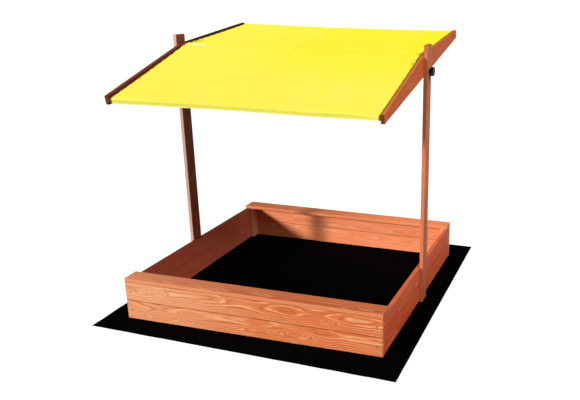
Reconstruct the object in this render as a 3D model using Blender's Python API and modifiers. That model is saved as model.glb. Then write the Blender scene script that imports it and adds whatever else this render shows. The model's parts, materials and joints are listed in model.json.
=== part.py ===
"""Sandbox with a tilting canopy: a square box of tongue-and-groove boards, two posts on its
side walls, and a cloth canopy on two gable-shaped cheek boards that tilts between the posts.

Metres, +Z up, front towards -Y. The origin is on the ground, in the middle of the box.
"""

import math

import bmesh
import bpy
from mathutils import Matrix, Vector

# ---------------------------------------------------------------- driving dimensions
GAP = 0.0003  # clearance between pieces that touch

BOX_SIZE = 1.200  # outside length of each wall
BOX_HEIGHT = 0.195  # from the ground to the top of the cap boards
BOARD = 0.016  # thickness of every board
CAP_DEPTH = 0.082  # front to back
V_JOINT = 0.002  # chamfer along the long edges of a wall board
TONGUE = (0.005, 0.006)  # thickness and height
BATTEN = (0.018, 0.055)  # corner batten, along X and along Y

SHEET_THICK = 0.0012  # ground sheet
SHEET_SIZE = (1.412, 1.530)  # its largest width and depth
SHEET_SKEW = 0.050  # its front edge is cut this much out of square

POST_SIZE = (BOARD, 0.072)  # along X and along Y
POST_TOP = 1.200
POST_Y = -0.005  # the posts stand just in front of the middle
PIVOT_Z = 1.0865

CANOPY_TILT = math.radians(10.8)  # front down
CHEEK_FRONT = 0.589  # from the pivot to the front end of a cheek
CHEEK_REAR = 0.613
CHEEK_BELOW = 0.0165  # from the pivot down to the straight lower edge
CHEEK_END = 0.037  # height of a cheek's ends
CHEEK_PEAK = 0.092  # height of a cheek at its peak
CHEEK_PEAK_AT = 0.005  # the peak is this far behind the pivot
CHEEK_PLAY = 0.0008  # between a cheek and its post
END_BAR = (0.034, 0.014)  # front and rear bars, width and height
RIDGE_BAR = (0.016, 0.034)
RIDGE_DROP = 0.0008  # keeps the ridge bar's square top under the sloping cloth
RESTS_BELOW = (0.0095, 0.0045, 0.0055)  # cloth below the cheeks' edges: front, ridge, rear

CLOTH_THICK = 0.0015
CLOTH_WIDTH = 1.148
CLOTH_LIFT = 0.0008  # between the cloth and the bars under it
CLOTH_TURN = 0.022  # how far the cloth is turned down over the end bars
FRONT_BOW = (0.015, 0.0)  # how far the stretched cloth pulls the middle of the front bar back
REAR_BOW = (-0.005, -0.004)  # and the middle of the rear bar forward and down
BOW_STEPS = 12

SCREW_SHANK = 0.0018  # radius
SCREW_HEAD = (0.0038, 0.0024)  # radius and height of the countersunk head
SCREW_LONG = 0.040
SCREW_SHORT = 0.029
BOLT_SHANK = 0.003
BOLT_HEAD = (0.0075, 0.0032)
BOLT_END = 0.0185  # how far the bolt reaches past the post
KNOB_RADIUS = 0.0200
KNOB_THICK = 0.0140
KNOB_HUB = (0.0095, 0.0075)  # radius and height
KNOB_LOBES = 6
LOBE_DEPTH = 0.0014

# ---------------------------------------------------------------- worked out from them
HALF = BOX_SIZE / 2
FLOOR = SHEET_THICK + GAP
CAP_UNDER = BOX_HEIGHT - BOARD
WALL_TOP = CAP_UNDER - GAP
COVER = (WALL_TOP - FLOOR - GAP) / 2  # height of one wall board without its tongue
LOWER_MID = FLOOR + COVER / 2
UPPER_MID = FLOOR + GAP + COVER * 1.5
INSIDE = HALF - BOARD
POST_OUTER = HALF + GAP + POST_SIZE[0]
CHEEK_OUTER = HALF + GAP - CHEEK_PLAY
CHEEK_INNER = CHEEK_OUTER - BOARD
BAR_LENGTH = 2 * (CHEEK_INNER - GAP)
SIDES = (("left", -1), ("right", 1))
ENDS = (("front", -1), ("rear", 1))


# ---------------------------------------------------------------- scene and materials
def clear_scene():
    for thing in list(bpy.data.objects):
        bpy.data.objects.remove(thing, do_unlink=True)


def collection(name):
    made = bpy.data.collections.new(name)
    bpy.context.scene.collection.children.link(made)
    return made


def material(name, colour, roughness, metallic=0.0):
    made = bpy.data.materials.new(name)
    made.use_nodes = True
    shader = made.node_tree.nodes["Principled BSDF"]
    shader.inputs["Base Color"].default_value = (*colour, 1)
    shader.inputs["Roughness"].default_value = roughness
    shader.inputs["Metallic"].default_value = metallic
    return made


clear_scene()
PARTS = collection("sandbox_with_cover")
CUTTERS = collection("cutters")
WOOD = material("stained_wood", (0.60, 0.22, 0.09), 0.6)
CLOTH = material("yellow_cloth", (0.95, 0.83, 0.09), 0.8)
GROUND_CLOTH = material("black_ground_cloth", (0.006, 0.006, 0.006), 0.9)
PLASTIC = material("black_plastic", (0.02, 0.02, 0.02), 0.4)
ZINC = material("zinc_plated_steel", (0.62, 0.62, 0.60), 0.35, 1.0)


# ---------------------------------------------------------------- shapes
def add(name, mesh, mat, place=Matrix(), parent=None):
    mesh.materials.clear()
    mesh.materials.append(mat)
    made = bpy.data.objects.new(name, mesh)
    PARTS.objects.link(made)
    made.parent = parent
    made.matrix_local = place
    return made


def add_cutter(name, mesh, place, parent):
    made = bpy.data.objects.new(name, mesh)
    CUTTERS.objects.link(made)
    made.parent = parent
    made.matrix_local = place
    made.hide_render = True
    made.display_type = "WIRE"
    return made


def cube_mesh(name, size):
    mesh = bpy.data.meshes.new(name)
    bm = bmesh.new()
    bmesh.ops.create_cube(bm, size=1, matrix=Matrix.Diagonal((*size, 1)))
    bm.to_mesh(mesh)
    bm.free()
    return mesh


def cylinder_mesh(name, radius, depth, sides=24):
    mesh = bpy.data.meshes.new(name)
    bm = bmesh.new()
    bmesh.ops.create_cone(
        bm, cap_ends=True, segments=sides, radius1=radius, radius2=radius, depth=depth
    )
    bm.to_mesh(mesh)
    bm.free()
    return mesh


def outline_mesh(name, outline, thickness, holes=()):
    """A flat outline in XY, with any holes in it, given its thickness along Z."""
    curve = bpy.data.curves.new(name, "CURVE")
    curve.dimensions = "2D"
    curve.fill_mode = "BOTH"
    curve.extrude = thickness / 2
    for ring in (outline, *holes):
        spline = curve.splines.new("POLY")
        spline.points.add(len(ring) - 1)
        for point, (x, y) in zip(spline.points, ring, strict=True):
            point.co = (x, y, 0, 1)
        spline.use_cyclic_u = True
    drawn = bpy.data.objects.new(name, curve)
    PARTS.objects.link(drawn)
    seen = drawn.evaluated_get(bpy.context.evaluated_depsgraph_get())
    mesh = bpy.data.meshes.new_from_object(seen)
    bpy.data.objects.remove(drawn)
    bpy.data.curves.remove(curve)
    bm = bmesh.new()
    bm.from_mesh(mesh)
    bmesh.ops.remove_doubles(bm, verts=bm.verts, dist=0.00001)
    bmesh.ops.recalc_face_normals(bm, faces=bm.faces)
    bm.to_mesh(mesh)
    bm.free()
    return mesh


def lofted_mesh(name, sections):
    """A closed body through sections of (x, outline in YZ), all with as many corners."""
    points = [(x, y, z) for x, outline in sections for y, z in outline]
    n = len(sections[0][1])
    faces = [tuple(range(n)), tuple(range(len(points) - 1, len(points) - n - 1, -1))]
    for start in range(0, len(points) - n, n):
        for i in range(n):
            j = (i + 1) % n
            faces.append((start + i, start + i + n, start + j + n, start + j))
    mesh = bpy.data.meshes.new(name)
    mesh.from_pydata(points, [], faces)
    bm = bmesh.new()
    bm.from_mesh(mesh)
    bmesh.ops.recalc_face_normals(bm, faces=bm.faces)
    bmesh.ops.triangulate(bm, faces=bm.faces)
    bm.to_mesh(mesh)
    bm.free()
    return mesh


def turned_mesh(name, profile, steps=12):
    """A profile of (radius, height), from the top down, turned about Z."""
    mesh = bpy.data.meshes.new(name)
    points = [(r, 0, z) for r, z in profile]
    mesh.from_pydata(points, [(i, i + 1) for i in range(len(points) - 1)], [])
    drawn = bpy.data.objects.new(name, mesh)
    PARTS.objects.link(drawn)
    screw = drawn.modifiers.new("turn", "SCREW")
    screw.steps = screw.render_steps = steps
    screw.use_merge_vertices = True
    screw.merge_threshold = 0.00001
    seen = drawn.evaluated_get(bpy.context.evaluated_depsgraph_get())
    made = bpy.data.meshes.new_from_object(seen)
    bpy.data.objects.remove(drawn)
    bpy.data.meshes.remove(mesh)
    made.shade_smooth()
    made.set_sharp_from_angle(angle=math.radians(40))
    return made


def circle(radius, sides, centre=(0, 0)):
    turns = [2 * math.pi * i / sides for i in range(sides)]
    return [
        (centre[0] + radius * math.cos(a), centre[1] + radius * math.sin(a)) for a in turns
    ]


def facing(direction, at):
    """A placement whose Z points along direction."""
    turn = Vector(direction).to_track_quat("Z", "Y").to_matrix().to_4x4()
    return Matrix.Translation(at) @ turn


def cut(piece, cutter):
    boolean = piece.modifiers.new(f"cut_{cutter.name}", "BOOLEAN")
    boolean.operation = "DIFFERENCE"
    boolean.solver = "EXACT"
    boolean.object = cutter


# ---------------------------------------------------------------- fasteners
def screw_profile(length, clearance=0.0, above=0.0):
    head_radius, head_height = SCREW_HEAD
    shank = SCREW_SHANK + clearance
    tip = length + clearance
    rim = head_radius + clearance
    top = [(0, above), (rim, above)]
    if above:
        top.append((rim, 0))
    return [*top, (shank, -head_height - clearance), (shank, -tip), (0, -tip)]


SCREWS = {
    length: (
        turned_mesh(f"screw_{length:.3f}", screw_profile(length)),
        turned_mesh(f"hole_{length:.3f}", screw_profile(length, GAP, 0.001)),
    )
    for length in (SCREW_LONG, SCREW_SHORT)
}


def add_screw(name, head_at, outward, length, through, parent=None):
    """A countersunk screw, its head level with the surface at head_at."""
    solid, hole = SCREWS[length]
    place = facing(outward, Vector(head_at))
    add(name, solid.copy(), ZINC, place, parent)
    cutter = add_cutter(f"{name}_hole", hole, place, parent)
    for piece in through:
        cut(piece, cutter)


# ---------------------------------------------------------------- box
def board_outline(groove, tongue):
    """Section of a wall board: X is its thickness with the outside at +X, Y its height."""
    half, side, v = BOARD / 2, COVER / 2, V_JOINT
    wide, tall = TONGUE[0] / 2, TONGUE[1]
    section = [(half - v, -side), (half, -side + v), (half, side - v), (half - v, side)]
    if tongue:
        section += [(wide, side), (wide, side + tall), (-wide, side + tall), (-wide, side)]
    section += [(-half, side), (-half, -side)]
    if groove:
        wide, tall = wide + GAP, tall + GAP
        section += [(-wide, -side), (-wide, -side + tall), (wide, -side + tall), (wide, -side)]
    return section


def wall(name, turn, length):
    """Two boards of one wall, its outside facing -Y before it is turned about Z."""
    boards = []
    for level, height, groove, tongue in (
        ("lower", LOWER_MID, False, True),
        ("upper", UPPER_MID, True, False),
    ):
        outline = board_outline(groove, tongue)
        mesh = outline_mesh(f"{name}_{level}_board", outline, length)
        stand = Matrix(((0, 0, -1, 0), (-1, 0, 0, 0), (0, 1, 0, 0), (0, 0, 0, 1)))
        out = Matrix.Translation((0, -HALF + BOARD / 2, height))
        place = Matrix.Rotation(turn, 4, "Z") @ out @ stand
        boards.append(add(mesh.name, mesh, WOOD, place))
    return boards


def add_box():
    quarter = math.pi / 2
    inner_length = BOX_SIZE - 2 * (BOARD + GAP)
    walls = {
        "front": wall("front_wall", 0, BOX_SIZE),
        "right": wall("right_wall", quarter, inner_length),
        "rear": wall("rear_wall", 2 * quarter, BOX_SIZE),
        "left": wall("left_wall", 3 * quarter, inner_length),
    }
    levels = list(zip(("lower", "upper"), (LOWER_MID, UPPER_MID), (0, 1), strict=True))
    batten_x = INSIDE - GAP - BATTEN[0] / 2
    batten_y = INSIDE - GAP - BATTEN[1] / 2
    batten_mesh = cube_mesh("corner_batten", (*BATTEN, WALL_TOP - FLOOR))
    for end, toward_y in ENDS:
        cap_mesh = cube_mesh(f"{end}_cap_board", (BOX_SIZE, CAP_DEPTH, BOARD))
        cap_at = (0, toward_y * (HALF - CAP_DEPTH / 2), CAP_UNDER + BOARD / 2)
        cap = add(cap_mesh.name, cap_mesh, WOOD, Matrix.Translation(cap_at))
        for side, toward_x in SIDES:
            at = Vector((toward_x * batten_x, toward_y * batten_y, (WALL_TOP + FLOOR) / 2))
            name = f"{end}_{side}_batten"
            batten = add(name, batten_mesh.copy(), WOOD, Matrix.Translation(at))
            head = (at.x, at.y, BOX_HEIGHT)
            add_screw(f"{end}_cap_screw_{side}", head, (0, 0, 1), SCREW_LONG, (cap, batten))
            for level, height, index in levels:
                head = (at.x, toward_y * HALF, height)
                outward = (0, toward_y, 0)
                through = (walls[end][index], batten)
                name = f"{end}_wall_screw_{side}_{level}"
                add_screw(name, head, outward, SCREW_LONG, through)
                head = (toward_x * HALF, at.y - toward_y * 0.010, height)
                outward = (toward_x, 0, 0)
                through = (walls[side][index], batten)
                name = f"{side}_wall_screw_{end}_{level}"
                add_screw(name, head, outward, SCREW_SHORT, through)
        head = (0, toward_y * (HALF - BOARD / 2), BOX_HEIGHT)
        through = (cap, walls[end][1])
        add_screw(f"{end}_cap_screw_middle", head, (0, 0, 1), SCREW_LONG, through)
    return walls


def add_ground_sheet():
    """A cut of ground cloth under the box, its front left corner a little short."""
    x, y = SHEET_SIZE[0] / 2, SHEET_SIZE[1] / 2
    outline = [(-x, -y + SHEET_SKEW), (x, -y), (x - SHEET_SKEW / 5, y), (-x, y)]
    mesh = outline_mesh("ground_sheet", outline, SHEET_THICK)
    add(mesh.name, mesh, GROUND_CLOTH, Matrix.Translation((0, 0, SHEET_THICK / 2)))


def add_posts(walls):
    mesh = cube_mesh("post", (*POST_SIZE, POST_TOP - FLOOR))
    hole = cylinder_mesh("post_bolt_hole", BOLT_SHANK + GAP, 3 * BOARD)
    for side, toward in SIDES:
        x = toward * (POST_OUTER - POST_SIZE[0] / 2)
        at = Matrix.Translation((x, POST_Y, (POST_TOP + FLOOR) / 2))
        post = add(f"{side}_post", mesh.copy(), WOOD, at)
        through_hole = facing((toward, 0, 0), (x, POST_Y, PIVOT_Z))
        cut(post, add_cutter(f"{side}_post_bolt_hole", hole, through_hole, None))
        for level, height, index in (("lower", LOWER_MID, 0), ("upper", UPPER_MID, 1)):
            head = (toward * POST_OUTER, POST_Y, height)
            through = (post, walls[side][index])
            name = f"{side}_post_screw_{level}"
            add_screw(name, head, (toward, 0, 0), SCREW_SHORT, through)


# ---------------------------------------------------------------- canopy
# In the canopy's own frame the pivot is the origin, +Y runs back along the lower edge of the
# cheeks and +Z is square to it.
CHEEK_FOOT = -CHEEK_BELOW
FRONT_TOP = Vector((-CHEEK_FRONT, CHEEK_FOOT + CHEEK_END))
PEAK = Vector((CHEEK_PEAK_AT, CHEEK_FOOT + CHEEK_PEAK))
REAR_TOP = Vector((CHEEK_REAR, CHEEK_FOOT + CHEEK_END))
FRONT_REST, RIDGE_REST, REAR_REST = (
    edge - Vector((0, below))
    for edge, below in zip((FRONT_TOP, PEAK, REAR_TOP), RESTS_BELOW, strict=True)
)
# Stands an outline drawn in (Y, Z) upright, with its thickness along X.
UPRIGHT = Matrix(((0, 0, 1, 0), (1, 0, 0, 0), (0, 1, 0, 0), (0, 0, 0, 1)))


def at_x(x):
    return Matrix.Translation((x, 0, 0)) @ UPRIGHT


def offset(path, distance):
    """The path moved to its left by distance, with square corners kept square."""
    moved = []
    for i, point in enumerate(path):
        before = (point - path[i - 1]).normalized() if i else None
        after = (path[i + 1] - point).normalized() if i < len(path) - 1 else None
        first, second = before or after, after or before
        normals = [Vector((-d.y, d.x)) for d in (first, second)]
        middle = (normals[0] + normals[1]).normalized()
        moved.append(point + middle * distance / middle.dot(normals[0]))
    return moved


def bowed(bow, x):
    """How far a bar with that bow at its middle is out of line at x."""
    return Vector(bow) * (1 - (2 * x / BAR_LENGTH) ** 2)


def along(length):
    return [length * (i / BOW_STEPS - 0.5) for i in range(BOW_STEPS + 1)]


def bar_mesh(name, size, bow):
    y, z = size[0] / 2, size[1] / 2
    corners = [Vector(c) for c in ((-y, -z), (y, -z), (y, z), (-y, z))]
    sections = [(x, [c + bowed(bow, x) for c in corners]) for x in along(BAR_LENGTH)]
    return lofted_mesh(name, sections)


def add_cloth(pivot):
    """The cloth lies over the three bars and is turned down over the outer two."""
    turn = Vector((0, CLOTH_TURN))
    sections = []
    for x in along(CLOTH_WIDTH):
        front, rear = FRONT_REST + bowed(FRONT_BOW, x), REAR_REST + bowed(REAR_BOW, x)
        path = [front - turn, front, RIDGE_REST, rear, rear - turn]
        under = offset(path, CLOTH_LIFT)
        over = offset(path, CLOTH_LIFT + CLOTH_THICK)
        sections.append((x, under + over[::-1]))
    add("canopy_cloth", lofted_mesh("canopy_cloth", sections), CLOTH, Matrix(), pivot)


def add_canopy():
    pivot = bpy.data.objects.new("canopy_pivot", None)
    PARTS.objects.link(pivot)
    pivot.location = (0, POST_Y, PIVOT_Z)
    pivot.rotation_euler = (CANOPY_TILT, 0, 0)
    outline = [(-CHEEK_FRONT, CHEEK_FOOT), (CHEEK_REAR, CHEEK_FOOT), REAR_TOP, PEAK, FRONT_TOP]
    bolt_hole = circle(BOLT_SHANK + GAP, 24)
    cheeks = {}
    for side, toward in SIDES:
        mesh = outline_mesh(f"{side}_cheek_board", outline, BOARD, [bolt_hole])
        middle = toward * (CHEEK_OUTER - BOARD / 2)
        cheeks[side] = add(mesh.name, mesh, WOOD, at_x(middle), pivot)
    half_end = Vector((END_BAR[0] / 2, 0))
    for bar_name, top, size, bow in (
        ("front_bar", FRONT_REST + half_end, END_BAR, FRONT_BOW),
        ("ridge_bar", RIDGE_REST - Vector((0, RIDGE_DROP)), RIDGE_BAR, (0, 0)),
        ("rear_bar", REAR_REST - half_end, END_BAR, REAR_BOW),
    ):
        middle = Vector((0, top.x, top.y - size[1] / 2))
        mesh = bar_mesh(bar_name, size, bow)
        bar = add(bar_name, mesh, WOOD, Matrix.Translation(middle), pivot)
        for side, toward in SIDES:
            head = (toward * CHEEK_OUTER, middle.y, middle.z)
            through = (cheeks[side], bar)
            name = f"{bar_name}_screw_{side}"
            add_screw(name, head, (toward, 0, 0), SCREW_LONG, through, pivot)
    add_cloth(pivot)
    return pivot


def knob_outline():
    """A round outline with shallow lobes."""
    points = []
    for i in range(KNOB_LOBES * 6):
        angle = math.tau * i / (KNOB_LOBES * 6)
        radius = KNOB_RADIUS - LOBE_DEPTH * (1 - math.cos(KNOB_LOBES * angle)) / 2
        points.append((radius * math.cos(angle), radius * math.sin(angle)))
    return points


def knob_mesh():
    """A lobed knob on a round hub, its foot at Z 0, with a blind hole for the bolt."""
    hub_radius, hub_height = KNOB_HUB
    bore_depth = BOLT_END + 2 * GAP
    knob = add("knob_body", outline_mesh("knob_body", knob_outline(), KNOB_THICK), PLASTIC)
    knob.location = (0, 0, hub_height + KNOB_THICK / 2)
    hub_length = hub_height + KNOB_THICK / 2
    at_hub = Matrix.Translation((0, 0, hub_length / 2))
    hub = add_cutter("knob_hub", cylinder_mesh("knob_hub", hub_radius, hub_length), at_hub, None)
    bore = cylinder_mesh("knob_bore", BOLT_SHANK + GAP, 2 * bore_depth)
    bore_cutter = add_cutter("knob_bore", bore, Matrix(), None)
    join = knob.modifiers.new("join_hub", "BOOLEAN")
    join.operation = "UNION"
    join.solver = "EXACT"
    join.object = hub
    cut(knob, bore_cutter)
    seen = knob.evaluated_get(bpy.context.evaluated_depsgraph_get())
    mesh = bpy.data.meshes.new_from_object(seen)
    # The hub was drawn about the world's origin, as was the knob moved up to meet it.
    mesh.transform(Matrix.Translation((0, 0, hub_height + KNOB_THICK / 2)))
    for scrap in (knob, hub, bore_cutter):
        bpy.data.objects.remove(scrap)
    mesh.shade_smooth()
    mesh.set_sharp_from_angle(angle=math.radians(40))
    return mesh


def add_pivot_hardware(pivot):
    """A carriage bolt through each cheek and post, with a knob on its outer end."""
    head_radius, head_height = BOLT_HEAD
    head_under = CHEEK_INNER - GAP
    length = POST_OUTER + BOLT_END - head_under
    dome = 0.6 * head_height
    profile = [
        (0, length),
        (BOLT_SHANK, length),
        (BOLT_SHANK, 0),
        (head_radius, 0),
        (head_radius * 0.92, -dome),
        (head_radius * 0.55, -head_height),
        (0, -head_height),
    ]
    bolt = turned_mesh("pivot_bolt", profile, 24)
    knob = knob_mesh()
    for side, toward in SIDES:
        outward = (toward, 0, 0)
        place = facing(outward, (toward * head_under, 0, 0))
        add(f"{side}_pivot_bolt", bolt.copy(), ZINC, place, pivot)
        place = facing(outward, (toward * (POST_OUTER + GAP), 0, 0))
        add(f"{side}_knob", knob.copy(), PLASTIC, place, pivot)


add_ground_sheet()
add_posts(add_box())
add_pivot_hardware(add_canopy())
bpy.context.view_layer.update()
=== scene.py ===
"""Looks of the sandbox with cover: stained softwood boards, a yellow cloth canopy and a black
ground sheet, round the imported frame. Metres, +Z up, front towards -Y."""

import json
import math

import bmesh
import bpy
import numpy as np
from mathutils import Matrix, Vector


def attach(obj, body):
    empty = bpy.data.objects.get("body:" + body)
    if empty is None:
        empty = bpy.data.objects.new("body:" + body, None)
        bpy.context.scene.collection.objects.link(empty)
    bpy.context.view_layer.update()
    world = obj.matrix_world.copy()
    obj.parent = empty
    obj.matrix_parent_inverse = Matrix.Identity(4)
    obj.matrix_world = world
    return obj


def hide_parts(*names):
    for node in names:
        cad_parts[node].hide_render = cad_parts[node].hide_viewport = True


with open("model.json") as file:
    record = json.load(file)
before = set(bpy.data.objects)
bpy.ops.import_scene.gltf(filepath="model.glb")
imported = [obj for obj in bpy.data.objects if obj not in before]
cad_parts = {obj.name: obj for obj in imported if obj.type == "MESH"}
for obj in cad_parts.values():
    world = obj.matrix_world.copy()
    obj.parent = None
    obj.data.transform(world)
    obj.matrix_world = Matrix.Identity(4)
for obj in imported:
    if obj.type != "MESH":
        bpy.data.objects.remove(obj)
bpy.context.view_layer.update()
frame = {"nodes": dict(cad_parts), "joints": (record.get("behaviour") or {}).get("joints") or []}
NODES = frame["nodes"]
HINGE = next(j for j in frame["joints"] if j["name"] == "canopy_tilt")
PIVOT = Vector(HINGE["pos_m"])
TILT = math.radians(10.8)  # of the canopy at rest, front down


# ---------------------------------------------------------------- node trees
class Socket:
    """A node's output that adds, multiplies and so on as a number would."""

    def __init__(self, tree, socket):
        self.tree, self.socket = tree, socket

    def __add__(self, other):
        return self.tree.math("ADD", self, other)

    def __sub__(self, other):
        return self.tree.math("SUBTRACT", self, other)

    def __rsub__(self, other):
        return self.tree.math("SUBTRACT", other, self)

    def __mul__(self, other):
        return self.tree.math("MULTIPLY", self, other)

    def __truediv__(self, other):
        return self.tree.math("DIVIDE", self, other)

    __radd__, __rmul__ = __add__, __mul__


class Tree:
    """A material under construction."""

    def __init__(self, name):
        self.material = bpy.data.materials.new(name)
        self.material.use_nodes = True
        self.nodes = self.material.node_tree.nodes
        self.shader = self.nodes["Principled BSDF"]
        self.output = self.nodes["Material Output"]
        coordinates = self.node("ShaderNodeTexCoord")
        self.at = Socket(self, coordinates.outputs["Object"])
        self.normal = Socket(self, coordinates.outputs["Normal"])

    def node(self, kind, **settings):
        made = self.nodes.new(kind)
        for key, value in settings.items():
            setattr(made, key, value)
        return made

    def feed(self, into, value):
        if isinstance(value, Socket):
            self.material.node_tree.links.new(value.socket, into)
        elif hasattr(value, "__len__") and len(value) == 3 and into.type == "RGBA":
            into.default_value = (*value, 1)
        else:
            into.default_value = value

    def math(self, operation, *values):
        made = self.node("ShaderNodeMath", operation=operation)
        for into, value in zip(made.inputs, values):
            self.feed(into, value)
        return Socket(self, made.outputs[0])

    def vector(self, operation, *values):
        made = self.node("ShaderNodeVectorMath", operation=operation)
        for into, value in zip(made.inputs, values):
            self.feed(into, value)
        out = "Value" if operation in ("DOT_PRODUCT", "LENGTH", "DISTANCE") else "Vector"
        return Socket(self, made.outputs[out])

    def combine(self, x, y, z):
        made = self.node("ShaderNodeCombineXYZ")
        for into, value in zip(made.inputs, (x, y, z)):
            self.feed(into, value)
        return Socket(self, made.outputs[0])

    def noise(self, vector, scale=1.0, detail=2.0, roughness=0.5):
        """Noise about 0, mostly between -1 and 1."""
        made = self.node("ShaderNodeTexNoise")
        for name, value in (
            ("Vector", vector), ("Scale", scale), ("Detail", detail), ("Roughness", roughness)
        ):
            self.feed(made.inputs[name], value)
        return (Socket(self, made.outputs[0]) - 0.5) * 3.0

    def step(self, value, low, high):
        """0 below low, 1 above high and smooth between them."""
        made = self.node("ShaderNodeMapRange", interpolation_type="SMOOTHSTEP")
        for name, given in (("Value", value), ("From Min", low), ("From Max", high)):
            self.feed(made.inputs[name], given)
        return Socket(self, made.outputs[0])

    def band(self, value, start, top, end):
        """Rises from start to top and falls again to end."""
        return self.step(value, start, top) - self.step(value, top, end)

    def mix(self, share, first, second):
        made = self.node("ShaderNodeMix", data_type="RGBA")
        self.feed(made.inputs["Factor"], share)
        self.feed(made.inputs[6], first)
        self.feed(made.inputs[7], second)
        return Socket(self, made.outputs[2])

    def bump(self, height, distance, strength=1.0):
        made = self.node("ShaderNodeBump")
        made.inputs["Distance"].default_value = distance
        made.inputs["Strength"].default_value = strength
        self.feed(made.inputs["Height"], height)
        return Socket(self, made.outputs[0])

    def surface(self, **values):
        for name, value in values.items():
            self.feed(self.shader.inputs[name.replace("_", " ")], value)
        return self.material


def srgb(red, green, blue):
    """A colour as a screen shows it, as the shaders need it."""
    return tuple(
        v / 12.92 if v <= 0.04045 else ((v + 0.055) / 1.055) ** 2.4
        for v in (red / 255, green / 255, blue / 255)
    )


# ---------------------------------------------------------------- wood
X, Y, Z = Vector((1, 0, 0)), Vector((0, 1, 0)), Vector((0, 0, 1))
TURNED = Matrix.Rotation(TILT, 3, "X")
BACK, UP = TURNED @ Y, TURNED @ Z  # along and square to the canopy


def measure(node, directions):
    """The middle of a node and half its size along three directions."""
    points = np.array([v.co for v in NODES[node].data.vertices])
    along = points @ np.array([list(d) for d in directions]).T
    low, high = along.min(0), along.max(0)
    middle = sum((d * float(m) for d, m in zip(directions, (low + high) / 2)), Vector())
    return middle, (high - low) / 2


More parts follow.
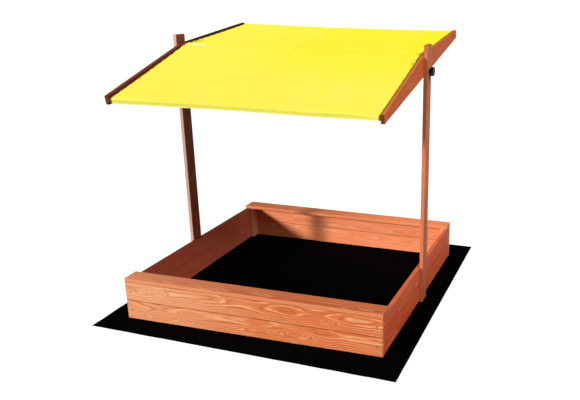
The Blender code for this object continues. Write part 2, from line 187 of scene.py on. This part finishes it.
def wood(node, directions, colour, seed, ring=0.0072, heart=0.030, sway=0.013, figure=1.0,
         painted_light_end=0.0, edge_wear_and_highlight=0.0, seams=(), seam_depth=0.9, swirls=(), sides=(), edging=()):
    """Stained softwood. directions are the board's grain, width and thickness. heart is how deep
    the tree's heart lies behind the board's face, and sway how much that changes along it, which
    draws the arches. Each of swirls, (along, across, length, rings), draws closed rings about a
    point. figure is how strongly the rings show and seams are heights where boards meet.
    painted_light_end
    paints light on one end: it makes the first end paler, or the last one when it is negative.
    wear scuffs the edges pale and paints a highlight where they catch the light. Each of sides,
    (direction, share, colour) and sometimes from and to along the board, gives the faces that
    look that way another tone, here mostly painted shade and on a few faces painted light, and
    each of edging, (direction, width, colour), is a painted shade line along an edge."""
    tree = Tree(f"wood_{node}")
    middle, half = measure(node, directions)
    place = tree.vector("SUBTRACT", tree.at, tuple(middle))
    u, v, w = (tree.vector("DOT_PRODUCT", place, tuple(d)) for d in directions)
    drift = seed * 7.31
    slow = tree.combine(u * 3.4 + drift, v * 7.0, w * 7.0)
    uneven = tree.combine(u * 9.0 + drift, v * 60.0 + drift, w * 60.0)
    depth = w + heart + tree.noise(slow, detail=1.5) * sway
    side = v - math.sin(seed * 2.4) * half[1] * 0.5
    side = side + tree.noise(tree.combine(u * 1.7, drift, 0.0), detail=0.0) * 0.012
    for along, across, length, rings in swirls:
        away = tree.combine((u - along) / length, (v - across) / (length * 0.17), 0.0)
        depth = depth + (1.0 - tree.step(tree.vector("LENGTH", away), 0.0, 1.0)) * (rings * ring)
    radius = tree.vector("LENGTH", tree.combine(0.0, side, depth))
    radius = radius + tree.noise(uneven, detail=3.0, roughness=0.6) * (ring * 0.38)
    turn = radius / ring
    turn = turn + tree.noise(tree.combine(turn * 0.45, drift, 0.0), detail=0.0) * 0.30
    phase = tree.math("FRACT", turn)
    patches = tree.noise(tree.combine(u * 7.0, v * 26.0 + drift, w * 26.0), detail=1.0)
    shown = tree.step(patches, -0.8, 0.6)
    pale = tree.band(phase, 0.26, 0.50, 0.70) * (shown * 0.85 + 0.15)
    dark = tree.band(phase, 0.70, 0.85, 0.98) * (shown * 0.60 + 0.40)
    fibre = tree.noise(
        tree.combine(u * 26.0, v * 900.0, w * 900.0 + drift), detail=2.0, roughness=0.6
    )
    streak = tree.noise(
        tree.combine(u * 4.0 + drift, v * 150.0, w * 150.0), detail=3.0, roughness=0.6
    )
    cloudy = tree.noise(tree.combine(u * 4.4, v * 12.0, w * 12.0 + drift), detail=2.0)

    base = Vector(srgb(*colour))
    lighter = tuple(base * 0.60 + Vector(srgb(255, 222, 172)) * 0.48)
    darker = (base[0] * 0.50, base[1] * 0.36, base[2] * 0.32)
    redder = (base[0] * 0.88, base[1] * 0.70, base[2] * 0.62)
    shade = tree.mix(tree.step(cloudy, -0.8, 1.0) * 0.60, tuple(base), redder)
    # Painted light: one end of the board is made paler.
    if painted_light_end:
        end = -1.0 if painted_light_end > 0 else 1.0
        toward = tree.step(u * end, half[0] * -0.35, half[0] * 0.95) * abs(painted_light_end)
        shade = tree.mix(toward, shade, tuple(base * 0.5 + Vector(srgb(247, 196, 150)) * 0.5))
    shade = tree.mix(tree.step(streak, -0.1, 1.3) * (0.22 + 0.16 * figure), shade, darker)
    shade = tree.mix(tree.step(streak * -1.0, 0.0, 1.3) * (0.10 + 0.20 * figure), shade, lighter)
    shade = tree.mix(pale * (0.85 * figure), shade, lighter)
    shade = tree.mix(dark * (0.62 * figure), shade, darker)
    shade = tree.mix(tree.step(fibre, -0.2, 1.4) * 0.14, shade, darker)
    # Edges scuffed pale, with a painted highlight where they catch the light.
    if edge_wear_and_highlight:
        inside = [float(h) - tree.math("ABSOLUTE", c) for h, c in zip(half, (u, v, w))]
        low = tree.math("MINIMUM", inside[0], inside[1])
        high = tree.math("MAXIMUM", inside[0], inside[1])
        edge = tree.math("MAXIMUM", low, tree.math("MINIMUM", high, inside[2]))
        ragged = tree.noise(tree.combine(u * 60.0, v * 60.0, w * 60.0), detail=1.0)
        worn_and_highlit = (1.0 - tree.step(edge + ragged * 0.0009, 0.0004, 0.0030)) * (0.6 * edge_wear_and_highlight)
        shade = tree.mix(worn_and_highlit, shade, tuple(base * 0.35 + Vector(srgb(236, 190, 160)) * 0.65))
    for level in seams:
        away = tree.math("ABSOLUTE", tree.vector("DOT_PRODUCT", tree.at, (0.0, 0.0, 1.0)) - level)
        line = (1.0 - tree.step(away, 0.0010, 0.0030)) * seam_depth
        shade = tree.mix(line, shade, (base[0] * 0.26, base[1] * 0.12, base[2] * 0.06))

    # Faces that look one way get another tone: mostly painted shade, on a few faces painted
    # light.
    for direction, share, tone, *reach in sides:
        toward = tree.vector("DOT_PRODUCT", tree.normal, tuple(direction))
        covered = tree.step(toward, 0.45, 0.80) * share
        if reach:
            covered = covered * tree.step(u, *reach)
        shade = tree.mix(covered, shade, srgb(*tone))
    # A painted shade line along an edge.
    for direction, width, tone in edging:
        reached = tree.vector("DOT_PRODUCT", place, tuple(direction))
        face = float(measure(node, (direction,))[1][0]) - reached
        ragged = tree.noise(tree.combine(u * 70.0, drift, 0.0), detail=1.0) * (width * 0.2)
        near = 1.0 - tree.step(face + ragged, width * 0.6, width * 1.2)
        shade = tree.mix(near * 0.95, shade, srgb(*tone))

    height = fibre * 0.25 + streak * 0.35 + pale * 0.5 - dark * 0.6
    rough = tree.math("ADD", 0.58, fibre * 0.03 + pale * 0.05)
    return tree.surface(
        Base_Color=shade, Roughness=rough, Specular_IOR_Level=0.08,
        Normal=tree.bump(height, 0.0004, 0.5),
    )


FRONT_TONE = (208, 114, 64)
RIGHT_TONE = (214, 90, 48)
LEFT_TONE = (222, 108, 80)
BACK_TONE = (248, 148, 100)
FRONT_CAP_TONE = (188, 98, 58)
REAR_CAP_TONE = (234, 138, 90)
POST_TONE = (212, 118, 76)
LEFT_POST_TONE = (192, 98, 64)
CHEEK_TONE = (226, 108, 52)
BAR_TONE = (206, 112, 70)
# BATTEN_TONE is paler than the other wood: painted light on the battens deep in the corners.
BATTEN_TONE = (255, 190, 156)
# Tones of single faces. OLIVE_SHADE, MOSS_SHADE, CHESTNUT_SHADE, RUST_SHADE and BURNT_SHADE are
# painted shade, CHESTNUT_SHADE also a painted shadow high on the left post's inner face;
# UMBER_STAIN_AND_SHADE is stain that soaked in deeper together with painted shade.
OLIVE_SHADE, UMBER_STAIN_AND_SHADE, MOSS_SHADE = (78, 52, 14), (74, 36, 24), (44, 33, 5)
CHESTNUT_SHADE, RUST_SHADE, BURNT_SHADE = (92, 44, 36), (68, 27, 6), (136, 52, 18)
PAINTED_LIGHT_TONE, HONEY_SHADE = (214, 174, 156), (140, 94, 46)  # painted light on the left post's lit front face, and painted shade, yellowish, on top faces
CLOTH_GAP_SHADE = (118, 80, 10)  # painted shade: the dark gap between the cloth and the right cheek, a line along the cheek's inner top edge
# CAP_FRONT_LIT_TONE is painted light on the front cap's front face; POST_TOP_SHADE_TONE is
# painted shade high on the right post's front face.
CAP_FRONT_LIT_TONE, POST_TOP_SHADE_TONE = (232, 146, 96), (150, 70, 44)
MEET = (0.0903, 0.1787)  # heights at which the wall boards meet each other and the cap

BOARDS = {
    # painted_light_end on the front boards is a painted sheen towards their left ends.
    "front_wall_upper_board": ((X, Z, -Y), FRONT_TONE, 3.1, dict(
        painted_light_end=0.8, seams=MEET, seam_depth=0.65,
        swirls=((-0.46, 0.012, 0.10, 3), (0.34, -0.006, 0.09, 3)))),
    "front_wall_lower_board": ((X, Z, -Y), FRONT_TONE, 5.7, dict(
        figure=0.85, painted_light_end=0.6, seams=MEET[:1], seam_depth=0.65,
        swirls=((-0.42, -0.012, 0.13, 5), (0.02, -0.010, 0.11, 3), (0.22, 0.0, 0.12, 4)))),
    "rear_wall_upper_board": ((X, Z, -Y), BACK_TONE, 1.9, dict(
        figure=0.45, seams=MEET, seam_depth=0.6)),
    "rear_wall_lower_board": ((X, Z, -Y), BACK_TONE, 8.3, dict(
        figure=0.50, seams=MEET[:1], seam_depth=0.6, swirls=((0.10, 0.006, 0.06, 4),))),
    # Left wall boards: painted shade towards the front of the inner face and painted light
    # towards the rear end; the upper one's top is darker with stain and painted shade.
    "left_wall_upper_board": ((Y, Z, X), LEFT_TONE, 2.2, dict(
        figure=0.2, painted_light_end=-0.3, seams=MEET[:1], seam_depth=0.3,
        sides=((Z, 0.8, UMBER_STAIN_AND_SHADE), (X, 0.45, RUST_SHADE, 0.05, -0.50)))),
    "left_wall_lower_board": ((Y, Z, X), LEFT_TONE, 6.4, dict(
        figure=0.2, painted_light_end=-0.3, seams=MEET[:1], seam_depth=0.3,
        sides=((X, 0.45, RUST_SHADE, 0.05, -0.50),))),
    "right_wall_upper_board": ((Y, Z, X), RIGHT_TONE, 4.4, dict(
        figure=0.3, edge_wear_and_highlight=0.8, seams=MEET[:1])),
    "right_wall_lower_board": ((Y, Z, X), RIGHT_TONE, 9.6, dict(figure=0.3, seams=MEET[:1])),
    # Front cap: painted light on its front face and towards its left end.
    "front_cap_board": ((X, Y, Z), FRONT_CAP_TONE, 7.2, dict(
        figure=0.55, edge_wear_and_highlight=0.5, painted_light_end=0.4, seams=MEET[1:], seam_depth=0.5,
        sides=((-Y, 0.5, CAP_FRONT_LIT_TONE),))),
    "rear_cap_board": ((X, Y, Z), REAR_CAP_TONE, 10.3, dict(
        figure=0.30, edge_wear_and_highlight=0.4, seams=MEET[1:])),
    # Left post: painted shade on its inner face and top, a painted shadow high on the inner face,
    # and painted light on its front face.
    "left_post": ((Z, Y, X), LEFT_POST_TONE, 11.5, dict(
        figure=0.4, heart=0.09, sides=(
            (X, 0.25, UMBER_STAIN_AND_SHADE), (X, 0.70, CHESTNUT_SHADE, 0.40, 0.46), (-Y, 0.85, PAINTED_LIGHT_TONE),
            (Z, 0.85, OLIVE_SHADE)))),
    # Right post: painted shade on its top, low on its outer face and high on its front face.
    "right_post": ((Z, Y, X), POST_TONE, 12.8, dict(
        figure=0.4, heart=0.09, edge_wear_and_highlight=0.15, sides=(
            (Z, 0.85, HONEY_SHADE), (X, 0.45, BURNT_SHADE, 0.0, -0.30),
            (-Y, 0.40, POST_TOP_SHADE_TONE, 0.545, 0.565)))),
    # Left cheek: painted shade on its top and inner face, deepest in its rear part; its front end
    # is darker with stain and painted shade.
    "left_cheek_board": ((BACK, UP, X), CHEEK_TONE, 13.1, dict(
        figure=0.3, sides=(
            (UP, 0.92, CHESTNUT_SHADE), (X, 0.90, RUST_SHADE), (-BACK, 0.85, UMBER_STAIN_AND_SHADE),
            (UP, 0.95, MOSS_SHADE, 0.0, 0.10), (X, 0.95, MOSS_SHADE, 0.0, 0.10)))),
    # Right cheek: painted shade on its top and inner face and as a line where the cloth meets it;
    # its front end is darker with stain and painted shade.
    "right_cheek_board": ((BACK, UP, X), CHEEK_TONE, 14.9, dict(
        figure=0.3, sides=(
            (UP, 0.60, HONEY_SHADE), (-X, 0.84, OLIVE_SHADE), (-BACK, 0.85, UMBER_STAIN_AND_SHADE)),
        edging=((-X, 0.0045, CLOTH_GAP_SHADE),))),
    # Front bar: painted shade on its top and front faces.
    "front_bar": ((X, BACK, UP), BAR_TONE, 15.3, dict(
        figure=0.4, sides=((UP, 0.9, RUST_SHADE), (-BACK, 0.9, RUST_SHADE)))),
    "ridge_bar": ((X, UP, BACK), BAR_TONE, 16.6, dict(figure=0.4)),
    "rear_bar": ((X, BACK, UP), BAR_TONE, 17.4, dict(figure=0.4)),
}
for number, name in enumerate(sorted(n for n in NODES if n.endswith("_batten"))):
    BOARDS[name] = ((Z, Y, X), BATTEN_TONE, 18.2 + number * 1.3, dict(figure=0.4))


def paint(node, material):
    mesh = NODES[node].data
    mesh.materials.clear()
    mesh.materials.append(material)


def ease_edges(node, width=0.0012, angle=60):
    """Rounds a node's sharp edges a little."""
    bevel = NODES[node].modifiers.new("eased", "BEVEL")
    bevel.width = width
    bevel.segments = 2
    bevel.limit_method = "ANGLE"
    bevel.angle_limit = math.radians(angle)
    bevel.use_clamp_overlap = False
    bevel.harden_normals = True


def finish_boards():
    for node, (directions, colour, seed, options) in BOARDS.items():
        paint(node, wood(node, directions, colour, seed, **options))
        ease_edges(node)


# ---------------------------------------------------------------- metal and plastic
def zinc(name, dull, bright):
    tree = Tree(name)
    mottled = tree.noise(tree.at, 260.0, 3.0)
    scratched = tree.noise(tree.at, 1900.0, 2.0)
    shade = tree.mix(tree.step(mottled, -1.0, 1.0), dull, bright)
    rough = 0.36 + mottled * 0.05 + scratched * 0.04
    return tree.surface(
        Base_Color=shade, Roughness=rough, Metallic=1.0, Normal=tree.bump(scratched, 0.00004)
    )


def moulded_plastic():
    tree = Tree("black_plastic")
    grain = tree.noise(tree.at, 1500.0, 2.0)
    dust = tree.noise(tree.at, 55.0, 3.0)
    shade = tree.mix(tree.step(dust, -0.6, 1.4) * 0.5, srgb(9, 7, 7), srgb(24, 20, 18))
    rough = 0.50 + dust * 0.05
    return tree.surface(
        Base_Color=shade, Roughness=rough, Specular_IOR_Level=0.15,
        Normal=tree.bump(grain, 0.00006),
    )


def finish_hardware():
    yellow_zinc = zinc("yellow_passivated_zinc", (0.30, 0.12, 0.045), (0.42, 0.20, 0.08))
    bright_zinc = zinc("bright_zinc", (0.50, 0.50, 0.47), (0.68, 0.68, 0.66))
    plastic = moulded_plastic()
    for node in NODES:
        if "_screw_" in node:
            paint(node, yellow_zinc)
        elif node.endswith("_bolt"):
            paint(node, bright_zinc)
        elif node.endswith("_knob"):
            paint(node, plastic)
            ease_edges(node, 0.0016, 50)


# ---------------------------------------------------------------- canopy cloth
CLOTH_WIDTH = 1.155
CLOTH_SHIFT = 0.0047  # the cloth is drawn over towards the right cheek
CLOTH_MIDDLE = 0.0016  # from the top of the bars to the middle of the cloth
FRONT_REST = Vector((-0.589, 0.0110))  # where the cloth rests, in the canopy's frame
RIDGE_REST = Vector((0.005, 0.0710))
REAR_REST = Vector((0.613, 0.0150))
TURN = 0.0225  # turned down over the end bars
FOLD_AT, FOLD_STRAYS = 0.005, 0.10  # the crease left by folding the cloth in two, at the ridge, drawn as painted shade and highlight
FRONT_BOW, REAR_BOW = Vector((0.015, 0.0)), Vector((-0.005, -0.004))
BAR_LENGTH = 1.1664
PITCH = 0.0065  # of the cloth's mesh
CLOTH_THICK = 0.0006
THREAD = 0.0011  # from one thread of the weave to the next but one
END_RADIUS, RIDGE_RADIUS = 0.0035, 0.030  # of the cloth's turns over the bars
SHORT_SHARE, SHORT_FROM, SHORT_OVER = 0.25, 0.30, 0.25  # the front turn is cut short at the right
SAG = 0.0035  # between the bars
SEE_THROUGH = 0.10


def rounded(corner, before, after, radius, steps):
    """Points of an arc that rounds a corner of a path."""
    into, out = (before - corner).normalized(), (after - corner).normalized()
    half_angle = into.angle(out) / 2
    reach = radius / math.tan(half_angle)
    start, end = corner + into * reach, corner + out * reach
    points = []
    for i in range(steps + 1):
        t = i / steps
        points.append(start * (1 - t) ** 2 + corner * 2 * t * (1 - t) + end * t * t)
    return points


def cloth_profile(x):
    """The cloth's section at x, in the canopy's (Y, Z), from its front hem to its rear one."""
    bow = 1 - (2 * x / BAR_LENGTH) ** 2
    front = FRONT_REST + FRONT_BOW * bow + Vector((-CLOTH_MIDDLE, CLOTH_MIDDLE))
    rear = REAR_REST + REAR_BOW * bow + Vector((CLOTH_MIDDLE, CLOTH_MIDDLE))
    peak = RIDGE_REST + Vector((0, CLOTH_MIDDLE))
    down = Vector((0, TURN + CLOTH_MIDDLE))
    front_down = down * (1 - SHORT_SHARE * min(max((x - SHORT_FROM) / SHORT_OVER, 0), 1))
    return [
        front - front_down,
        *rounded(front, front - front_down, peak, END_RADIUS, 6),
        *rounded(peak, front, rear, RIDGE_RADIUS, 8),
        *rounded(rear, peak, rear - down, END_RADIUS, 6),
        rear - down,
    ]


def resampled(path, count):
    """count points evenly spaced along a path, and how far along it each one is."""
    points = np.array([tuple(p) for p in path])
    lengths = np.r_[0, np.cumsum(np.linalg.norm(np.diff(points, axis=0), axis=1))]
    at = np.linspace(0, lengths[-1], count)
    return np.c_[np.interp(at, lengths, points[:, 0]), np.interp(at, lengths, points[:, 1])], at


def thickened(sheet, thickness):
    """Gives a sheet its thickness, with its cut edges sharp."""
    solid = sheet.modifiers.new("thickness", "SOLIDIFY")
    solid.thickness = thickness
    solid.offset = 0.0
    shaped = sheet.evaluated_get(bpy.context.evaluated_depsgraph_get())
    sheet.data = bpy.data.meshes.new_from_object(shaped)
    sheet.modifiers.clear()
    sheet.data.set_sharp_from_angle(angle=math.radians(50))


def new_sheet(name, grid, material, thickness, flat=None):
    """A sheet through a grid of points; flat is where each of them lies on the cut cloth."""
    columns, rows = grid.shape[:2]
    index = np.arange(columns * rows).reshape(columns, rows)
    corners = np.stack(
        [index[:-1, :-1], index[1:, :-1], index[1:, 1:], index[:-1, 1:]], axis=-1
    ).reshape(-1, 4)
    mesh = bpy.data.meshes.new(name)
    mesh.from_pydata(grid.reshape(-1, 3).tolist(), [], corners.tolist())
    if flat is not None:
        uv = mesh.uv_layers.new(name="cut")
        uv.data.foreach_set("uv", flat[corners.ravel()].astype(np.float32).ravel())
    mesh.shade_smooth()
    sheet = bpy.data.objects.new(name, mesh)
    bpy.context.scene.collection.objects.link(sheet)
    mesh.materials.append(material)
    thickened(sheet, thickness)
    return sheet


def canopy_cloth():
    """One continuous sheet over the three bars, drawn tight, with slack ripples at its sides."""
    columns = int(CLOTH_WIDTH / PITCH) + 1
    length = resampled(cloth_profile(0.0), 2)[1][-1]
    rows = int(length / PITCH) + 1
    xs = np.linspace(-CLOTH_WIDTH / 2, CLOTH_WIDTH / 2, columns) + CLOTH_SHIFT
    grid = np.zeros((columns, rows, 3))
    run = np.zeros((columns, rows))
    for i, x in enumerate(xs):
        section, at = resampled(cloth_profile(x), rows)
        grid[i, :, 0] = x
        grid[i, :, 1:] = section
        run[i] = at
    y, z = grid[:, :, 1], grid[:, :, 2]
    across = (grid[:, :, 0] - CLOTH_SHIFT) * 2 / CLOTH_WIDTH
    share, outward = np.abs(across), np.sign(across)
    flat = np.stack([grid[:, :, 0], run], axis=-1).reshape(-1, 2)
    front_half = np.clip((y - FRONT_REST.x) / (RIDGE_REST.x - FRONT_REST.x), 0, 1)
    rear_half = np.clip((REAR_REST.x - y) / (REAR_REST.x - RIDGE_REST.x), 0, 1)
    slack = np.sin(np.pi * np.clip(np.where(y < RIDGE_REST.x, front_half, rear_half), 0, 1))
    z -= SAG * slack * (1 - 0.35 * share**4)
    side = np.clip((share - 0.93) / 0.07, 0, 1) ** 2
    ripple = np.sin(y * 118.0 + outward) + 0.6 * np.sin(y * 191.0 + 1.3)
    near_ridge = np.exp(-(((y - RIDGE_REST.x) / 0.16) ** 2))
    z += side * ripple * (0.0008 + 0.0014 * near_ridge)
    grid[:, :, 0] -= outward * side * (ripple + 1.6) * (0.0003 + 0.0005 * near_ridge)
    place = Matrix.Translation(PIVOT) @ Matrix.Rotation(TILT, 4, "X")
    placed = np.array([tuple(place @ Vector(p)) for p in grid.reshape(-1, 3)])
    sheet = new_sheet(
        "canopy_cloth_sheet", placed.reshape(grid.shape), yellow_cloth(float(length)),
        CLOTH_THICK, flat,
    )
    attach(sheet, "canopy")
    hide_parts("canopy_cloth")


def yellow_cloth(length):
    """Tight plain-woven polyester, a little see-through to light. A crease left by packing,
    ripples and the edges by the cheeks are drawn with painted shade and highlights, and the front
    panel is darkened with painted shade.
    """
    tree = Tree("yellow_polyester")
    cut = Socket(tree, tree.node("ShaderNodeUVMap", uv_map="cut").outputs[0])
    split = tree.node("ShaderNodeSeparateXYZ")
    tree.feed(split.inputs[0], cut)
    across, down = (Socket(tree, split.outputs[i]) for i in (0, 1))
    warp = tree.math("SINE", across * (math.tau / THREAD))
    weft = tree.math("SINE", down * (math.tau / THREAD))
    weave = tree.math("MAXIMUM", warp * weft, 0.0)
    slub = tree.noise(tree.combine(across * 40.0, down * 900.0, 0.0), detail=1.0)
    cloudy = tree.noise(tree.combine(across * 2.2, down * 2.2, 3.0), detail=2.0)
    ridge_at = float(PIVOT.dot(BACK)) + RIDGE_REST.x
    behind = tree.vector("DOT_PRODUCT", tree.at, tuple(BACK)) - ridge_at
    rear = tree.step(behind, -0.006, 0.004)
    right = tree.step(across, -0.40, 0.15)
    # Painted shade: the front panel is darker than the rear one, to even out the stronger light
    # on it.
    shade = tree.mix(rear, srgb(234, 218, 80), srgb(248, 235, 73))
    deep = tree.mix(rear, srgb(234, 216, 12), srgb(248, 233, 14))
    shade = tree.mix(tree.step(behind, -0.42, -0.02) * right * 0.65, shade, deep)
    shade = tree.mix(tree.step(cloudy, -0.9, 0.9) * 0.3, shade, srgb(240, 224, 50))
    # Painted shade and light of shallow ripples: deeper bands on the rear right, paler ones on
    # the front right.
    ripple_noise = tree.noise(tree.combine(across * 15.0, down * 1.6, 7.0), detail=1.0)
    ripple_light_and_shade = tree.step(ripple_noise, -0.1, 0.6) * tree.step(across, 0.10, 0.30)
    shade = tree.mix(ripple_light_and_shade * tree.step(behind, 0.04, 0.20) * 0.8, shade, deep)
    shade = tree.mix(
        ripple_light_and_shade * tree.step(behind * -1.0, 0.28, 0.46) * 0.5, shade, srgb(234, 220, 96)
    )
    # Painted shade and painted highlight on the two sides of the crease.
    wander = tree.noise(tree.combine(0.0, down * 3.0, 1.0), detail=1.0) * 0.004
    fold = across - FOLD_AT + tree.math("ABSOLUTE", behind) * FOLD_STRAYS + wander
    kept = tree.step(down, length * 0.15, length * 0.30)
    shade = tree.mix(
        tree.band(fold, -0.007, -0.003, 0.0) * kept * 0.55, shade, srgb(196, 172, 20)
    )
    shade = tree.mix(tree.band(fold, 0.0, 0.003, 0.007) * kept * 0.4, shade, srgb(255, 244, 130))
    # A painted highlight near the left end of the ridge.
    bright = tree.vector(
        "LENGTH", tree.combine((across + 0.51) * 16.0, (down - length * 0.505) * 34.0, 0.0)
    )
    shade = tree.mix((1.0 - tree.step(bright, 0.2, 1.0)) * 0.6, shade, srgb(255, 250, 190))
    hem = 1.0 - tree.step(down, TURN + 0.0005, TURN + 0.0040)
    shade = tree.mix(hem, shade, srgb(236, 227, 84))
    shade = tree.mix(1.0 - tree.step(down, 0.003, 0.010), shade, srgb(252, 246, 140))
    stitches = tree.band(down, TURN + 0.0045, TURN + 0.0065, TURN + 0.0085)
    shade = tree.mix(stitches * 0.45, shade, srgb(222, 204, 60))
    # Painted shade along the cloth's side edges, reaching further in where the edge lifts near
    # the ridge on the right.
    rim = CLOTH_WIDTH / 2 - tree.math("ABSOLUTE", across - CLOTH_SHIFT)
    edge_wobble = tree.noise(tree.combine(0.0, down * 24.0, 2.0), detail=1.0)
    lifted_edge_reach = tree.band(behind, -0.17, -0.03, 0.08) * tree.step(across, -0.1, 0.1) * 0.003 + 0.0004
    edge = 1.0 - tree.step(rim + edge_wobble * lifted_edge_reach, 0.0034, 0.0062)
    shade = tree.mix(edge * 0.9, shade, srgb(110, 82, 6))
    # A painted shadow under a fold near the right edge, in front of the ridge.
    edge_fold_shadow = tree.band(rim + edge_wobble * 0.002, 0.0105, 0.0130, 0.0165) * tree.step(across, 0.0, 0.1)
    edge_fold_shadow = edge_fold_shadow * tree.band(behind + edge_wobble * 0.03, -0.17, -0.10, -0.03)
    shade = tree.mix(edge_fold_shadow * 0.85, shade, srgb(84, 62, 4))
    shade = tree.mix(weave * 0.06, shade, srgb(230, 208, 56))
    height = weave * 0.5 + slub * 0.15
    normal = tree.bump(height, 0.00025, 0.5)
    tree.surface(
        Base_Color=shade, Roughness=0.78, Specular_IOR_Level=0.08, Sheen_Weight=0.03,
        Sheen_Roughness=0.4, Normal=normal,
    )
    through = tree.node("ShaderNodeBsdfTranslucent")
    tree.feed(through.inputs["Color"], shade)
    tree.feed(through.inputs["Normal"], normal)
    both = tree.node("ShaderNodeMixShader")
    both.inputs[0].default_value = SEE_THROUGH
    links = tree.material.node_tree.links
    links.new(tree.shader.outputs[0], both.inputs[1])
    links.new(through.outputs[0], both.inputs[2])
    links.new(both.outputs[0], tree.output.inputs["Surface"])
    return tree.material


# ---------------------------------------------------------------- ground sheet
SHEET_WIDTH, SHEET_DEPTH, SHEET_SKEW = 1.412, 1.530, 0.050
SIDE_SKEW = SHEET_SKEW / 5  # its right edge is out of square by this much
SHEET_PITCH, SHEET_THICK = 0.012, 0.0005
SHEET_MIDDLE = 0.0007  # height of its middle over the ground
BOX_EDGE = 0.63  # beyond this the box and its posts no longer hold it down
TAPE = 0.0044  # from one tape of the weave to the next but one


def ground_sheet():
    """Woven ground cloth lying flat under the box, its cut edges lifting a little."""
    columns = int(SHEET_WIDTH / SHEET_PITCH) + 1
    rows = int(SHEET_DEPTH / SHEET_PITCH) + 1
    s, t = np.meshgrid(np.linspace(0, 1, columns), np.linspace(0, 1, rows), indexing="ij")
    half_width, half_depth = SHEET_WIDTH / 2, SHEET_DEPTH / 2
    right = half_width - t * SIDE_SKEW
    x = -half_width + s * (right + half_width)
    front = -half_depth + SHEET_SKEW * (1 - s)
    y = front + t * (half_depth - front)
    z = np.full_like(x, SHEET_MIDDLE)
    rim = np.minimum(np.minimum(s, 1 - s) * SHEET_WIDTH, np.minimum(t, 1 - t) * SHEET_DEPTH)
    outside = np.clip((np.maximum(np.abs(x), np.abs(y)) - BOX_EDGE) / 0.05, 0, 1)
    wave = np.sin(x * 21.0 + 1.1) * np.sin(y * 17.0 + 0.4) + 0.5 * np.sin((x + y) * 39.0)
    z += outside * (wave + 1.3) * 0.0005
    lifted = np.exp(-rim / 0.012) * (np.sin((x - y) * 33.0) + 1.0)
    z += outside * lifted * 0.0003
    grid = np.stack([x, y, z], axis=-1)
    sheet = new_sheet("ground_cloth_sheet", grid, black_ground_cloth(), SHEET_THICK)
    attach(sheet, "box_and_posts")
    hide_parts("ground_sheet")


def black_ground_cloth():
    """Flat woven tape, about 2 mm wide each way, dull black."""
    tree = Tree("black_woven_cloth")
    split = tree.node("ShaderNodeSeparateXYZ")
    tree.feed(split.inputs[0], tree.at)
    x, y = (Socket(tree, split.outputs[i]) for i in (0, 1))
    warp = tree.math("SINE", x * (math.tau / TAPE))
    weft = tree.math("SINE", y * (math.tau / TAPE))
    weave = tree.step(warp * weft, -0.35, 0.35)
    tape = tree.noise(tree.combine(x * 700.0, y * 60.0, 0.0), detail=1.0)
    dust = tree.noise(tree.combine(x * 3.0, y * 3.0, 1.0), detail=4.0)
    shade = tree.mix(weave * 0.6, (0.0004, 0.0004, 0.0005), (0.0011, 0.0011, 0.0012))
    shade = tree.mix(tree.step(dust, 0.2, 1.6) * 0.3, shade, (0.0018, 0.0017, 0.0016))
    height = weave * 0.6 + tape * 0.2
    return tree.surface(
        Base_Color=shade, Roughness=0.9, Specular_IOR_Level=0.01, Normal=tree.bump(height, 0.0003)
    )


# ---------------------------------------------------------------- studio
STUDIO_RADIUS = 60.0
WHITE = (1, 1, 1, 1)


def disc(name, radius, height, sides=96):
    points = [(radius * math.cos(a), radius * math.sin(a), height)
              for a in np.linspace(0, math.tau, sides, endpoint=False)]
    mesh = bpy.data.meshes.new(name)
    mesh.from_pydata(points, [], [tuple(range(sides))])
    made = bpy.data.objects.new(name, mesh)
    bpy.context.scene.collection.objects.link(made)
    return made


def glowing(name, strength, matte):
    """White that gives off light and scatters some of what falls on it."""
    tree = Tree(name)
    return tree.surface(
        Base_Color=(matte, matte, matte), Roughness=1.0, Specular_IOR_Level=0.0,
        Emission_Color=WHITE, Emission_Strength=strength,
    )


def add_sun(name, strength, direction, spread):
    """A light from direction, as a point of the sky seen from the object."""
    lamp = bpy.data.lights.new(name, "SUN")
    lamp.energy = strength
    lamp.angle = math.radians(spread)
    made = bpy.data.objects.new(name, lamp)
    made.rotation_euler = Vector(direction).to_track_quat("Z", "Y").to_euler()
    bpy.context.scene.collection.objects.link(made)


def add_studio():
    """A plain pale floor and backdrop, an even sky and three soft lights."""
    floor = disc("studio_floor", STUDIO_RADIUS, -0.0005)
    floor.data.materials.append(glowing("pale_floor", 0.88, 0.22))
    floor.visible_diffuse = False
    backdrop = bpy.data.objects.new("studio_backdrop", bpy.data.meshes.new("studio_backdrop"))
    shell = bmesh.new()
    bmesh.ops.create_uvsphere(shell, u_segments=48, v_segments=24, radius=STUDIO_RADIUS)
    shell.to_mesh(backdrop.data)
    shell.free()
    bpy.context.scene.collection.objects.link(backdrop)
    backdrop.data.materials.append(glowing("pale_backdrop", 1.0, 0.0))
    for kind in ("diffuse", "glossy", "transmission", "shadow", "volume_scatter"):
        setattr(backdrop, f"visible_{kind}", False)
    world = bpy.data.worlds.new("studio")
    bpy.context.scene.world = world
    world.use_nodes = True
    sky = world.node_tree.nodes["Background"]
    sky.inputs["Color"].default_value = WHITE
    sky.inputs["Strength"].default_value = 0.13
    add_sun("key", 3.4, (-0.73, -1.0, 0.38), 7.5)
    add_sun("fill", 2.3, (1.0, -0.5, 1.3), 40)
    add_sun("overhead", 0.5, (-0.1, -0.15, 1.0), 60)


def add_camera():
    """At the photograph's viewing angle, as fitted to the corners of the box."""
    data = bpy.data.cameras.new("camera")
    data.sensor_width = 36.0
    data.lens = 44.796
    data.shift_x = -0.2069
    data.shift_y = 0.0361
    data.clip_end = 200.0
    camera = bpy.data.objects.new("camera", data)
    camera.location = (1.4004, -3.0837, 1.4823)
    camera.rotation_euler = [math.radians(a) for a in (71.1652, -0.8534, 15.8985)]
    bpy.context.scene.collection.objects.link(camera)
    bpy.context.scene.camera = camera
    bpy.context.scene.view_settings.view_transform = "Standard"


finish_boards()
finish_hardware()
canopy_cloth()
ground_sheet()
add_studio()
add_camera()
